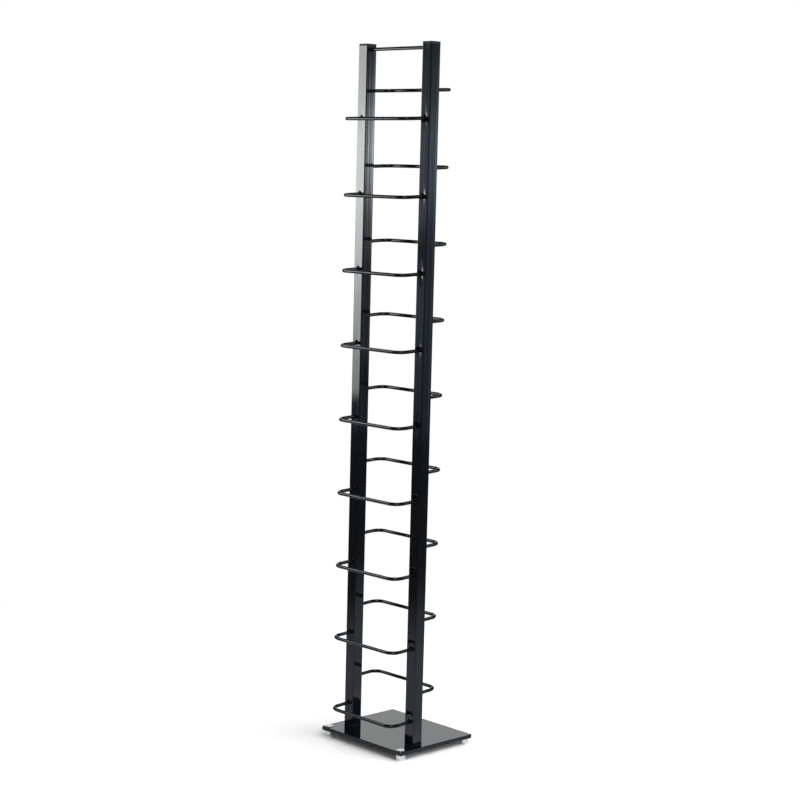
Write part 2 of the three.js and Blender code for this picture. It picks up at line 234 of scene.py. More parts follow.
class TowerStudio(bpy.types.PropertyGroup):
    """The photograph's camera, floor and lights."""

    focal: bpy.props.FloatProperty(name="Focal length", description="In pixels of the image", default=1927.2)
    image: bpy.props.IntProperty(name="Image", description="Width and height in pixels", default=800)
    centre: bpy.props.FloatVectorProperty(
        name="Centre", description="Where the lens points, in pixels", size=2, default=(396.7, 425.0)
    )
    place: bpy.props.FloatVectorProperty(
        name="Place", description="Camera from the foot of the posts", size=3, subtype="XYZ", unit="LENGTH",
        default=(2.7637, -2.6048, 1.1623),
    )
    heading: bpy.props.FloatProperty(name="Heading", description="Degrees from the rear", default=46.49)
    dip: bpy.props.FloatProperty(name="Dip", description="Degrees below the horizon", default=7.638)
    roll: bpy.props.FloatProperty(name="Roll", description="Degrees, anticlockwise", default=1.444)
    floor_radius: length("Floor radius", "Edge of the studio floor", 4600)
    paper_radius: length("Paper radius", "Edge of the well lit paper round the tower", 600)
    paper_fade: length("Paper fade", "Where the paper has faded into the dark floor", 1500)
    paper_reach: bpy.props.FloatProperty(
        name="Paper reach", description="Share by which the paper is longer on the right", default=0.2
    )
    paper: colour("Paper", "White paper under the tower", "#f4f4f4")
    surround: colour("Surround", "Studio light on matt surfaces", "#ffffff")
    key_side: bpy.props.FloatVectorProperty(
        name="Key side", description="Where most of the soft light comes from", size=3, subtype="DIRECTION",
        default=(0.62, 0.27, 0.74),
    )


def add_node(tree, kind, settings=None, **inputs):
    """Adds a node with its settings, and sets its inputs or links them to sockets or nodes.

    An input's name may be its number. A node stands for its first result.
    """
    node = tree.nodes.new(kind)
    for name, value in (settings or {}).items():
        setattr(node, name, value)
    for name, value in inputs.items():
        socket = node.inputs[int(name[1:]) if name[0] == "_" else name.replace("_", " ")]
        if isinstance(value, bpy.types.Node):
            value = next(output for output in value.outputs if output.enabled)
        if isinstance(value, bpy.types.NodeSocket):
            tree.links.new(value, socket)
        else:
            socket.default_value = value
    return node


def make_material(fill, *values, name=None):
    """A node material, named for the function that adds its nodes and returns its surface shader."""
    material = bpy.data.materials.new(name or fill.__name__)
    material.use_nodes = True
    tree = material.node_tree
    tree.nodes.clear()
    add_node(tree, "ShaderNodeOutputMaterial", Surface=fill(tree, *values))
    return material


def fine_bump(tree, place, spacing, depth, detail=2.0, **below):
    """A grainy bump with that spacing and depth, both in metres, on any bump below it."""
    noise = add_node(tree, "ShaderNodeTexNoise", Vector=place, Scale=1 / spacing, Detail=detail)
    return add_node(tree, "ShaderNodeBump", Height=noise, Strength=1.0, Distance=depth, **below)


def slot_dishes(tree, place, sizes):
    """Height, from 0 to 1, of a wall that the punch has drawn in round each hook slot."""
    front = hoop_height(sizes, "front", 1)
    rear = hoop_height(sizes, "rear", 1)
    pitch = hoop_height(sizes, "front", 2) - front
    wide = sizes.wire / 2 + sizes.fit
    rise = (sizes.hook_bend + sizes.headroom - wide) / 2
    axis = node_centre("post_right").x
    split = add_node(tree, "ShaderNodeSeparateXYZ", Vector=place)
    is_rear = add_node(
        tree, "ShaderNodeMath", {"operation": "GREATER_THAN"}, _0=split.outputs["Y"], _1=post_line()
    )
    slot = add_node(tree, "ShaderNodeMapRange", Value=is_rear, To_Min=front, To_Max=rear)
    above = add_node(tree, "ShaderNodeMath", SUBTRACT, _0=split.outputs["Z"], _1=slot)
    near = add_node(tree, "ShaderNodeMath", {"operation": "WRAP"}, _0=above, _1=pitch / 2, _2=-pitch / 2)
    middle = add_node(tree, "ShaderNodeMath", SUBTRACT, _0=near, _1=rise)
    off = add_node(tree, "ShaderNodeMath", ABSOLUTE, _0=middle)
    past = add_node(tree, "ShaderNodeMath", {**SUBTRACT, "use_clamp": True}, _0=off, _1=rise)
    squeezed = add_node(tree, "ShaderNodeMath", MULTIPLY, _0=past, _1=sizes.dish_reach / sizes.dish_length)
    out = add_node(tree, "ShaderNodeMath", ABSOLUTE, _0=split.outputs["X"])
    beside = add_node(tree, "ShaderNodeMath", SUBTRACT, _0=out, _1=axis)
    away = add_node(tree, "ShaderNodeCombineXYZ", X=beside, Z=squeezed)
    distance = add_node(tree, "ShaderNodeVectorMath", LENGTH, _0=away)
    return add_node(tree, "ShaderNodeMapRange", SMOOTH, Value=distance, From_Max=sizes.dish_reach)


def gloss_black_stove_enamel(tree, finish):
    """Gloss black stoving enamel on drawn steel tube. The wall sinks a little round each punched slot."""
    place = add_node(tree, "ShaderNodeTexCoord").outputs["Object"]
    sizes = bpy.context.scene.tower_sizes
    dishes = slot_dishes(tree, place, sizes)
    sunk = add_node(tree, "ShaderNodeBump", Height=dishes, Strength=1.0, Distance=sizes.dish_depth)
    # Draw lines of the tube run along it, about 9 mm apart, and the enamel softens them
    stretched = add_node(tree, "ShaderNodeMapping", Vector=place, Scale=(1, 1, 0.004))
    lines = fine_bump(tree, stretched, spacing=9 * MM, depth=0.17 * MM, detail=0.7, Normal=sunk)
    # Orange peel of a sprayed coat, about 2.5 mm from crest to crest
    peel = fine_bump(tree, place, spacing=2.5 * MM, depth=0.006 * MM, detail=1.0, Normal=lines)
    # Dust and handling dull the gloss here and there, in clouds of about 60 mm
    cloud = add_node(tree, "ShaderNodeTexNoise", Vector=place, Scale=1 / (60 * MM), Detail=3.0)
    rough = add_node(
        tree, "ShaderNodeMapRange", Value=cloud, From_Min=0.3, From_Max=0.7, To_Min=0.045, To_Max=0.075
    )
    return add_node(
        tree, "ShaderNodeBsdfPrincipled", Base_Color=(*finish.post, 1), Roughness=rough, IOR=1.47,
        Normal=peel,
    )


def gloss_black_enamelled_wire(tree, finish):
    """Gloss black enamel on bent steel wire. A fine peel breaks up its long highlights."""
    place = add_node(tree, "ShaderNodeTexCoord").outputs["Object"]
    peel = fine_bump(tree, place, spacing=3 * MM, depth=0.004 * MM)
    return add_node(
        tree, "ShaderNodeBsdfPrincipled", Base_Color=(*finish.wire, 1), Roughness=0.22, IOR=1.38,
        Normal=peel,
    )


def polished_black_glass(tree, finish):
    """Black float glass with a fire-polished face and ground edges. The face is a mirror at a low angle."""
    geometry = add_node(tree, "ShaderNodeNewGeometry")
    upright = add_node(tree, "ShaderNodeSeparateXYZ", Vector=geometry.outputs["True Normal"])
    level = add_node(tree, "ShaderNodeMath", ABSOLUTE, _0=upright.outputs["Z"])
    # 0 on the two level faces, and 1 on the ground edges
    edge = add_node(tree, "ShaderNodeMapRange", Value=level, From_Min=0.95, From_Max=0.2)
    tint = add_node(
        tree, "ShaderNodeMix", COLOUR_MIX, _0=edge, _6=(*finish.glass, 1), _7=(*finish.glass_edge, 1)
    )
    # Grinding marks on the edge are finer than the render shows, so they only dull it
    rough = add_node(tree, "ShaderNodeMapRange", Value=edge, To_Min=0.012, To_Max=0.35)
    shine = add_node(tree, "ShaderNodeMapRange", Value=edge, To_Min=0.5, To_Max=0.32)
    # The cool tint of its reflections is painted: it stands in for the cool cast of the light that the glass
    # mirrors
    return add_node(
        tree, "ShaderNodeBsdfPrincipled", Base_Color=tint, Roughness=rough, IOR=1.52,
        Specular_IOR_Level=shine, Specular_Tint=(0.87, 0.97, 1, 1),
    )


def moulded_black_nylon(tree, finish):
    """Moulded nylon with a fine spark-eroded grain, so its shine is broad and soft."""
    place = add_node(tree, "ShaderNodeTexCoord").outputs["Object"]
    grain = fine_bump(tree, place, spacing=0.5 * MM, depth=0.02 * MM)
    return add_node(
        tree, "ShaderNodeBsdfPrincipled", Base_Color=(*finish.cap, 1), Roughness=0.6, IOR=1.53,
        Normal=grain,
    )


def black_sheet_rubber(tree, finish):
    """Die-cut sheet rubber, matt and faintly pebbled."""
    place = add_node(tree, "ShaderNodeTexCoord").outputs["Object"]
    grain = fine_bump(tree, place, spacing=0.6 * MM, depth=0.04 * MM)
    return add_node(
        tree, "ShaderNodeBsdfPrincipled", Base_Color=(*finish.rubber, 1), Roughness=0.8, IOR=1.52,
        Normal=grain,
    )


def turned_aluminium(tree, finish):
    """Turned, lightly polished aluminium. The tool leaves fine level rings that stretch the highlights."""
    place = add_node(tree, "ShaderNodeTexCoord").outputs["Object"]
    level = add_node(tree, "ShaderNodeMapping", Vector=place, Scale=(0.02, 0.02, 1))
    rings = fine_bump(tree, level, spacing=0.4 * MM, depth=0.008 * MM)
    return add_node(
        tree, "ShaderNodeBsdfPrincipled", Base_Color=(*finish.aluminium, 1), Metallic=1.0,
        Roughness=0.24, Normal=rings,
    )


def milky_soft_plastic(tree, finish):
    """Milky soft plastic of the foot pads. A little light goes through it."""
    place = add_node(tree, "ShaderNodeTexCoord").outputs["Object"]
    grain = fine_bump(tree, place, spacing=0.8 * MM, depth=0.02 * MM)
    return add_node(
        tree, "ShaderNodeBsdfPrincipled", Base_Color=(*finish.pad, 1), Roughness=0.4, IOR=1.49,
        Normal=grain, Subsurface_Weight=0.3, Subsurface_Scale=2 * MM, Subsurface_Radius=(1, 1, 1),
    )


def bright_zinc_plate(tree, finish):
    """Bright zinc plate on pressed and turned steel, with a faint spangle of about 2 mm."""
    place = add_node(tree, "ShaderNodeTexCoord").outputs["Object"]
    spangle = add_node(tree, "ShaderNodeTexVoronoi", Vector=place, Scale=1 / (2 * MM))
    rough = add_node(tree, "ShaderNodeMapRange", Value=spangle, To_Min=0.28, To_Max=0.42)
    return add_node(
        tree, "ShaderNodeBsdfPrincipled", Base_Color=(*finish.zinc, 1), Metallic=1.0, Roughness=rough
    )


FINISHES = {
    "post": gloss_black_stove_enamel,
    "wire": gloss_black_enamelled_wire,
    "base_glass": polished_black_glass,
    "post_cap": moulded_black_nylon,
    "gasket": black_sheet_rubber,
    "foot": turned_aluminium,
    "foot_pad": milky_soft_plastic,
    "fixings": bright_zinc_plate,
}


def slot_material(context, slot):
    """The material of a slot, made once."""
    fill = FINISHES[slot]
    return bpy.data.materials.get(fill.__name__) or make_material(fill, context.scene.tower_finish)


def node_slot(node):
    """The material slot that the record gives a node."""
    for part in frame["record"]["subparts"]:
        if part["node"] == node:
            return part["material_slot"]
    raise ValueError(f"the record has no sub-part {node}")


def node_centre(node):
    """Middle of a node's box."""
    low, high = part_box(node)
    return (low + high) / 2


def post_line():
    """Y of the middle of the posts."""
    return node_centre("post_left").y


def hoop_height(sizes, row, number):
    """Height of the middle of a hoop's wire, from the top of its hook."""
    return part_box(f"{row}_hoop_{number}")[1].z - sizes.hook_leg - sizes.hook_bend


def link_mesh(bm, name):
    """The bmesh as a linked object."""
    mesh = bpy.data.meshes.new(name)
    bm.to_mesh(mesh)
    bm.free()
    piece = bpy.data.objects.new(name, mesh)
    bpy.context.scene.collection.objects.link(piece)
    return piece


def to_object(bm, name):
    """The bmesh as a linked object, with its faces pointing outwards."""
    bmesh.ops.recalc_face_normals(bm, faces=bm.faces)
    return link_mesh(bm, name)


def carve(piece, tool, operation="DIFFERENCE"):
    """Cuts the tool out of the piece, or joins it, and deletes the tool."""
    modifier = piece.modifiers.new("carve", "BOOLEAN")
    modifier.object = tool
    modifier.operation = operation
    modifier.solver = "EXACT"
    depsgraph = bpy.context.evaluated_depsgraph_get()
    carved = bpy.data.meshes.new_from_object(piece.evaluated_get(depsgraph))
    piece.modifiers.clear()
    bare = piece.data
    piece.data = carved
    bpy.data.meshes.remove(bare)
    carved.name = piece.name
    bpy.data.objects.remove(tool)


def dress(context, piece, node, crease=30):
    """Gives a piece its finish, its shading and its body, and hides the node it stands for."""
    slot = node_slot(node)
    piece.data.materials.clear()
    piece.data.materials.append(slot_material(context, slot))
    piece.data.shade_smooth()
    piece.data.set_sharp_from_angle(angle=math.radians(crease))
    weighted = piece.modifiers.new("even shading", "WEIGHTED_NORMAL")
    weighted.keep_sharp = True
    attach(piece, BODY)
    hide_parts(node)


def edges_of(verts):
    """The edges that meet at some vertices, each of them once."""
    return list(dict.fromkeys(edge for vert in verts for edge in vert.link_edges))


def box_mesh(bm, low, high):
    """A box between two corners. Returns its new edges."""
    size = high - low
    place = Matrix.Translation((low + high) / 2) @ Matrix.Diagonal((*size, 1))
    made = bmesh.ops.create_cube(bm, size=1, matrix=place)
    return edges_of(made["verts"])


def along(edges, axis):
    """The edges that run along an axis."""
    spans = [(edge, edge.verts[1].co - edge.verts[0].co) for edge in edges]
    return [edge for edge, span in spans if abs(span[axis]) > ALIGNED * span.length]


def round_edges(bm, edges, radius, segments):
    """Rounds edges with an even bevel."""
    bmesh.ops.bevel(
        bm, geom=edges, offset=radius, offset_type="OFFSET", segments=segments, profile=0.5,
        affect="EDGES", material=-1, clamp_overlap=True,
    )


def level_edges(bm, height):
    """The edges that lie at a height."""
    return [edge for edge in bm.edges if all(abs(vert.co.z - height) < NEAR for vert in edge.verts)]


def level_face(bm, height, side):
    """The largest face at a height that faces up, side 1, or down, side -1."""
    bm.normal_update()
    facing = [face for face in bm.faces if face.normal.z * side > ALIGNED]
    level = [face for face in facing if abs(face.calc_center_median().z - height) < NEAR]
    return max(level, key=lambda face: face.calc_area())


def turned(bm, centre, profile):
    """Spins a profile of radius and height pairs about an upright axis through centre."""
    verts = [bm.verts.new(centre + Vector((radius, 0, height))) for radius, height in profile]
    edges = [bm.edges.new(pair) for pair in zip(verts, verts[1:])]
    bmesh.ops.spin(
        bm, geom=verts + edges, cent=centre, axis=UP, dvec=(0, 0, 0), angle=math.tau,
        steps=TURNED_SIDES, use_merge=True,
    )
    bmesh.ops.remove_doubles(bm, verts=bm.verts, dist=WELD)


def disc_profile(radius, height, edge):
    """Profile of a disc with rounded rims, from the axis at its foot to the axis at its top."""
    turn = [math.pi / 2 * step / DISC_STEPS for step in range(DISC_STEPS + 1)]
    lower = [(radius - edge + edge * math.sin(a), edge - edge * math.cos(a)) for a in turn]
    upper = [(r, height - h) for r, h in reversed(lower)]
    return [(0, 0), *lower, *upper, (0, height)]


def ring_profile(radius, bore, height, edge):
    """Closed profile of a washer with eased rims."""
    points = [
        (bore, 0), (radius - edge, 0), (radius, edge), (radius, height - edge),
        (radius - edge, height), (bore, height),
    ]
    return [*points, points[0]]


def wire_start(bm, place, direction, radius, sides=WIRE_SIDES):
    """A ring of edges at the cut end of a wire that runs in a direction."""
    turn = UP.rotation_difference(direction).to_matrix().to_4x4()
    ring = bmesh.ops.create_circle(
        bm, cap_ends=True, radius=radius, segments=sides, matrix=Matrix.Translation(place) @ turn
    )
    return edges_of(ring["verts"])


def wire_run(bm, ring, span):
    """Draws the ring of a wire straight on. Returns the new ring."""
    made = bmesh.ops.extrude_edge_only(bm, edges=ring)["geom"]
    verts = [item for item in made if isinstance(item, bmesh.types.BMVert)]
    bmesh.ops.translate(bm, verts=verts, vec=span)
    ends = set(verts)
    return [e for e in made if isinstance(e, bmesh.types.BMEdge) and set(e.verts) <= ends]


def wire_bend(bm, ring, centre, axis, angle, steps):
    """Draws the ring of a wire round a bend. Returns the new ring."""
    made = bmesh.ops.spin(bm, geom=ring, cent=centre, axis=axis, dvec=(0, 0, 0), angle=angle, steps=steps)
    return [item for item in made["geom_last"] if isinstance(item, bmesh.types.BMEdge)]


def wire_route(bm, corners, bends, radius):
    """Draws a wire from corner to corner, with a bend of its own radius and steps at each inner corner."""
    ways = [(after - before).normalized() for before, after in zip(corners, corners[1:])]
    ring = wire_start(bm, corners[0], ways[0], radius)
    reached = corners[0]
    for corner, before, after, (bend, steps) in zip(corners[1:], ways, ways[1:], bends):
        angle = before.angle(after)
        start = corner - before * bend * math.tan(angle / 2)
        ring = wire_run(bm, ring, start - reached)
        axis = before.cross(after).normalized()
        centre = start + axis.cross(before) * bend
        ring = wire_bend(bm, ring, centre, axis, angle, steps)
        reached = corner + after * bend * math.tan(angle / 2)
    return wire_run(bm, ring, corners[-1] - reached)


def wire_close(bm, ring, edge):
    """Closes the end of a wire and eases both of its rims."""
    bmesh.ops.edgeloop_fill(bm, edges=ring)
    bmesh.ops.recalc_face_normals(bm, faces=bm.faces)
    rims = [e for e in bm.edges if len(e.link_faces) == 2 and e.calc_face_angle() > RIM_ANGLE]
    round_edges(bm, rims, edge, EASED_STEPS)


def hoop_piece(sizes, row, number):
    """One hoop: hook, arm, corner, cross bar, corner, arm and hook. Its arms slope a little."""
    facing = FACING[row]
    height = hoop_height(sizes, row, number)
    line = post_line()
    left, right = (node_centre(f"post_{side}").x for side in SIDES)
    low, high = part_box("post_left")
    radius = sizes.wire / 2
    wall = (high.y - low.y) / 2 - sizes.post_wall
    leg = wall - sizes.fit - radius
    wall_middle = wall + sizes.post_wall / 2
    slope = facing * sizes.hoop_rise / (sizes.hoop_reach - wall_middle)

    def corner(x, out, rise):
        return Vector((x, line + facing * out, height + rise))

    leg_rise = slope * (leg - wall_middle)
    top_rise = sizes.hook_bend + sizes.hook_leg
    bar_rise = facing * sizes.hoop_rise
    corners = [
        corner(left, leg, top_rise),
        corner(left, leg, leg_rise),
        corner(left, sizes.hoop_reach, bar_rise),
        corner(right, sizes.hoop_reach, bar_rise),
        corner(right, leg, leg_rise),
        corner(right, leg, top_rise),
    ]
    hook = (sizes.hook_bend, HOOK_STEPS)
    bend = (sizes.hoop_bend, HOOP_STEPS)
    bm = bmesh.new()
    ring = wire_route(bm, corners, (hook, bend, bend, hook), radius)
    wire_close(bm, ring, sizes.wire_end)
    return to_object(bm, f"{row}_hoop_{number}_wire")


def slot_tool(sizes, side):
    """Cutters for all the hook slots of a post, and for the hole of the rail."""
    centre = node_centre(f"post_{side}")
    low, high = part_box(f"post_{side}")
    half = (high.y - low.y) / 2
    wide = sizes.wire / 2 + sizes.fit
    bm = bmesh.new()
    for row in ROWS:
        inner = centre.y + FACING[row] * (half - sizes.post_wall - OVERRUN)
        outer = centre.y + FACING[row] * (half + OVERRUN)
        for number in TIERS:
            height = hoop_height(sizes, row, number)
            foot = Vector((centre.x - wide, min(inner, outer), height - wide))
            top = Vector((centre.x + wide, max(inner, outer), height + sizes.hook_bend + sizes.headroom))
            round_edges(bm, along(box_mesh(bm, foot, top), Y), wide - NEAR, CORNER_STEPS)
    rail = node_centre("top_rail")
    inward = 1 if side == "left" else -1
    start = Vector((centre.x + inward * (half - sizes.post_wall - OVERRUN), *rail.yz))
    ring = wire_start(bm, start, Vector((inward, 0, 0)), wide, HOLE_SIDES)
    ring = wire_run(bm, ring, Vector((inward * (sizes.post_wall + 2 * OVERRUN), 0, 0)))
    bmesh.ops.edgeloop_fill(bm, edges=ring)
    return to_object(bm, "slot_tool")


def post_piece(sizes, side):
    """A square tube with rounded corners, hook slots and the hole of the rail."""
    low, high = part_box(f"post_{side}")
    bm = bmesh.new()
    round_edges(bm, along(box_mesh(bm, low, high), Z), sizes.post_corner, CORNER_STEPS)
    ends = [level_face(bm, low.z, -1), level_face(bm, high.z, 1)]
    bmesh.ops.delete(bm, geom=ends, context="FACES_ONLY")
    bmesh.ops.solidify(bm, geom=bm.faces, thickness=sizes.post_wall)
    piece = to_object(bm, f"post_{side}_tube")
    carve(piece, slot_tool(sizes, side))
    return piece


def cap_piece(sizes, side):
    """A moulded cap: a rim over the end of the tube and a hollow skirt inside it."""
    low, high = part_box(f"post_cap_{side}")
    rim = Vector((*low.xy, high.z - sizes.cap_rim))
    bm = bmesh.new()
    round_edges(bm, along(box_mesh(bm, rim, high), Z), sizes.post_corner, CORNER_STEPS)
    round_edges(bm, level_edges(bm, high.z), sizes.cap_edge, EASED_STEPS)
    under = level_face(bm, rim.z, -1)
    bmesh.ops.inset_individual(bm, faces=[under], thickness=sizes.post_wall + sizes.fit)
    skirt = bmesh.ops.extrude_discrete_faces(bm, faces=[under])["faces"][0]
    bmesh.ops.translate(bm, verts=skirt.verts, vec=(0, 0, low.z - rim.z))
    bmesh.ops.inset_individual(bm, faces=[skirt], thickness=sizes.cap_skirt_wall)
    hollow = bmesh.ops.extrude_discrete_faces(bm, faces=[skirt])["faces"][0]
    bmesh.ops.translate(bm, verts=hollow.verts, vec=(0, 0, rim.z - low.z))
    return to_object(bm, f"post_cap_{side}_moulding")


def rail_piece(sizes):
    """The round rail that ties the tops of the posts."""
    low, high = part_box("top_rail")
    start = Vector((low.x, *node_centre("top_rail").yz))
    bm = bmesh.new()
    ring = wire_start(bm, start, Vector((1, 0, 0)), sizes.wire / 2)
    ring = wire_run(bm, ring, Vector((high.x - low.x, 0, 0)))
    wire_close(bm, ring, sizes.wire_end)
    return to_object(bm, "top_rail_bar")


def drill_tool(holes):
    """Upright cutters through the glass, one for each place and radius."""
    low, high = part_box("base_glass")
    bm = bmesh.new()
    for centre, radius in holes:
        ring = wire_start(bm, Vector((*centre.xy, low.z - OVERRUN)), UP, radius, HOLE_SIDES)
        ring = wire_run(bm, ring, (high.z - low.z + 2 * OVERRUN) * UP)
        bmesh.ops.edgeloop_fill(bm, edges=ring)
    return to_object(bm, "drill_tool")


def glass_piece(sizes):
    """The plate, with round corners, ground edges and the drilled holes."""
    low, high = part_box("base_glass")
    bm = bmesh.new()
    round_edges(bm, along(box_mesh(bm, low, high), Z), sizes.glass_corner, PLATE_STEPS)
    rims = level_edges(bm, high.z) + level_edges(bm, low.z)
    round_edges(bm, rims, sizes.glass_arris, CHAMFER_STEPS)
    piece = to_object(bm, "base_glass_plate")
    holes = []
    for side in SIDES:
        holes.append((node_centre(f"base_bolt_{side}"), sizes.bolt / 2 + sizes.hole_play))
        holes.append((node_centre(f"foot_screw_{side}"), sizes.screw / 2 + sizes.hole_play))
    carve(piece, drill_tool(holes))
    return piece


def turned_piece(node, name, profile):
    """A turned piece on the axis of a node, standing on the foot of the node's box."""
    bm = bmesh.new()
    turned(bm, Vector((*node_centre(node).xy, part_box(node)[0].z)), profile)
    return to_object(bm, name)


def node_radius(node):
    """Half the width of a round node."""
    low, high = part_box(node)
    return (high.x - low.x) / 2


def node_height(node):
    """Height of a node's box."""
    low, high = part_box(node)
    return high.z - low.z


def screw_piece(sizes, side):
    """A screw with a flat disc head that lies on the glass."""
    node = f"foot_screw_{side}"
    shank = sizes.screw / 2
    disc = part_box(node)[1].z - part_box("base_glass")[1].z
    foot = node_height(node) - disc
    rounded = [(r, foot + h) for r, h in disc_profile(node_radius(node), disc, sizes.disc_edge)[1:]]
    profile = [(0, 0), (shank - sizes.fit, 0), (shank, sizes.fit), (shank, foot), *rounded]
    return turned_piece(node, f"{node}_disc", profile)


def bolt_piece(sizes, side):
    """A hexagon bolt under the glass, with a chamfered head."""
    node = f"base_bolt_{side}"
    low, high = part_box(node)
    middle = Vector((*node_centre(node).xy, low.z + sizes.bolt_head / 2))
    # Two corners of the hexagon point to the front and the rear, where the box is deeper
    corner = (high.y - low.y) / 2
    turn = Matrix.Rotation(math.radians(30), 4, "Z")
    bm = bmesh.new()
    bmesh.ops.create_cone(
        bm, cap_ends=True, segments=6, radius1=corner, radius2=corner, depth=sizes.bolt_head,
        matrix=Matrix.Translation(middle) @ turn,
    )
    round_edges(bm, level_edges(bm, low.z), sizes.bolt_edge, CHAMFER_STEPS)
    piece = to_object(bm, f"{node}_hexagon")
    bm = bmesh.new()
    shank = disc_profile(sizes.bolt / 2, node_height(node) - sizes.bolt_head / 2, sizes.bolt_edge)
    turned(bm, middle, shank)
    carve(piece, to_object(bm, "shank_tool"), "UNION")
    return piece


class TOWER_OT_posts(bpy.types.Operator):
    """Makes the two square tubes with their hook slots"""

    bl_idname = "tower.posts"
    bl_label = "Posts"

    def execute(self, context):
        for side in SIDES:
            dress(context, post_piece(context.scene.tower_sizes, side), f"post_{side}")
        return {"FINISHED"}


class TOWER_OT_caps(bpy.types.Operator):
    """Makes the moulded caps in the tops of the tubes"""

    bl_idname = "tower.caps"
    bl_label = "Caps"

    def execute(self, context):
        for side in SIDES:
            dress(context, cap_piece(context.scene.tower_sizes, side), f"post_cap_{side}")
        return {"FINISHED"}


class TOWER_OT_rail(bpy.types.Operator):
    """Makes the round rail between the tubes"""

    bl_idname = "tower.rail"
    bl_label = "Rail"

    def execute(self, context):
        dress(context, rail_piece(context.scene.tower_sizes), "top_rail")
        return {"FINISHED"}


class TOWER_OT_hoops(bpy.types.Operator):
    """Makes the bent wire hoops, front and rear"""

    bl_idname = "tower.hoops"
    bl_label = "Hoops"

    def execute(self, context):
        for row in ROWS:
            for number in TIERS:
                piece = hoop_piece(context.scene.tower_sizes, row, number)
                dress(context, piece, f"{row}_hoop_{number}")
        return {"FINISHED"}


class TOWER_OT_glass(bpy.types.Operator):
    """Makes the glass plate"""

    bl_idname = "tower.glass"
    bl_label = "Glass"

    def execute(self, context):
        dress(context, glass_piece(context.scene.tower_sizes), "base_glass", crease=20)
        return {"FINISHED"}


class TOWER_OT_feet(bpy.types.Operator):
    """Makes the feet, their pads and the two disc screws"""

    bl_idname = "tower.feet"
    bl_label = "Feet"

    def execute(self, context):
        sizes = context.scene.tower_sizes
        for row in ROWS:
            for side in SIDES:
                foot = f"foot_{row}_{side}"
                pad = f"foot_pad_{row}_{side}"
                body = disc_profile(node_radius(foot), node_height(foot), sizes.foot_edge)
                dress(context, turned_piece(foot, f"{foot}_turning", body), foot)
                sole = disc_profile(node_radius(pad), node_height(pad), sizes.pad_edge)
                dress(context, turned_piece(pad, f"{pad}_sole", sole), pad)
        for side in SIDES:
            dress(context, screw_piece(sizes, side), f"foot_screw_{side}")
        return {"FINISHED"}


class TOWER_OT_fixings(bpy.types.Operator):
    """Makes the bolts and washers, and finishes the nuts and gaskets of the frame"""

    bl_idname = "tower.fixings"
    bl_label = "Fixings"

    def execute(self, context):
        sizes = context.scene.tower_sizes
        bore = sizes.bolt / 2 + sizes.fit
        for side in SIDES:
            for kind in ("soft_washer", "steel_washer"):
                node = f"{kind}_{side}"
                profile = ring_profile(node_radius(node), bore, node_height(node), sizes.washer_edge)
                dress(context, turned_piece(node, f"{node}_ring", profile), node)
            dress(context, bolt_piece(sizes, side), f"base_bolt_{side}")
            for kind in ("post_nut", "post_gasket"):
                hidden = frame["nodes"][f"{kind}_{side}"]
                hidden.data.materials.clear()
                hidden.data.materials.append(slot_material(context, node_slot(f"{kind}_{side}")))
        return {"FINISHED"}


def stage_object(bm, name, material):
    """A piece of the studio that isn't part of the tower."""
    piece = link_mesh(bm, name)
    piece.data.materials.append(material)
    return piece


def ramp_of(tree, value, low, high, stops):
    """A grey ramp between two values, with stops of value and grey level from 0 to 1."""
    share = add_node(tree, "ShaderNodeMapRange", Value=value, From_Min=low, From_Max=high)
    ramp = add_node(tree, "ShaderNodeValToRGB", Fac=share)
    elements = ramp.color_ramp.elements
    while len(elements) < len(stops):
        elements.new(0.5)
    for element, (at, level) in zip(elements, stops):
        element.position = (at - low) / (high - low)
        element.color = (level, level, level, 1)
    return ramp


def white_paper_floor(tree, studio):
    """White paper near the tower. Further out the eye still sees white, but gloss sees a dark floor."""
    place = add_node(tree, "ShaderNodeTexCoord").outputs["Object"]
    away = add_node(tree, "ShaderNodeVectorMath", LENGTH, _0=place)
    # The paper runs on further to the right
    to_right = camera_axes(studio)[0] * studio.paper_reach
    rightward = add_node(tree, "ShaderNodeVectorMath", DOT, _0=place, _1=to_right)
    extra = add_node(tree, "ShaderNodeMath", {"operation": "MAXIMUM"}, _0=rightward, _1=0.0)
    nearer = add_node(tree, "ShaderNodeMath", SUBTRACT, _0=away, _1=extra)
    far = add_node(
        tree, "ShaderNodeMapRange", SMOOTH, Value=nearer, From_Min=studio.paper_radius,
        From_Max=studio.paper_fade,
    )
    rays = add_node(tree, "ShaderNodeLightPath").outputs
    out = add_node(tree, "ShaderNodeMapRange", Value=away, From_Min=SHEEN_START, From_Max=SHEEN_END)
    sheen = add_node(tree, "ShaderNodeMix", COLOUR_MIX, _0=out, _6=SHEEN_NEAR, _7=SHEEN_FAR)
    gloss = add_node(
        tree, "ShaderNodeMix", COLOUR_MIX, _0=rays["Is Glossy Ray"], _6=(*studio.paper, 1), _7=sheen
    )
    bright = add_node(
        tree, "ShaderNodeMix", COLOUR_MIX, _0=rays["Is Camera Ray"], _6=gloss, _7=PAPER_SEEN
    )
    paper = add_node(tree, "ShaderNodeBsdfDiffuse", Color=bright)
    seen = add_node(
        tree, "ShaderNodeMix", {"data_type": "FLOAT"}, _0=rays["Is Glossy Ray"], _2=1.0, _3=FLOOR_GLOSS
    )
    beyond = add_node(tree, "ShaderNodeEmission", Strength=seen)
    return add_node(tree, "ShaderNodeMixShader", _0=far, _1=paper, _2=beyond)


def camera_axes(studio):
    """The camera's right, up and back directions."""
    heading = math.radians(studio.heading)
    dip = math.radians(studio.dip)
    ahead = Vector((-math.sin(heading) * math.cos(dip), math.cos(heading) * math.cos(dip), -math.sin(dip)))
    level = Vector((math.cos(heading), math.sin(heading), 0))
    turn = Matrix.Rotation(math.radians(studio.roll), 3, -ahead)
    right = turn @ level
    up = turn @ level.cross(ahead)
    return right, up, -ahead


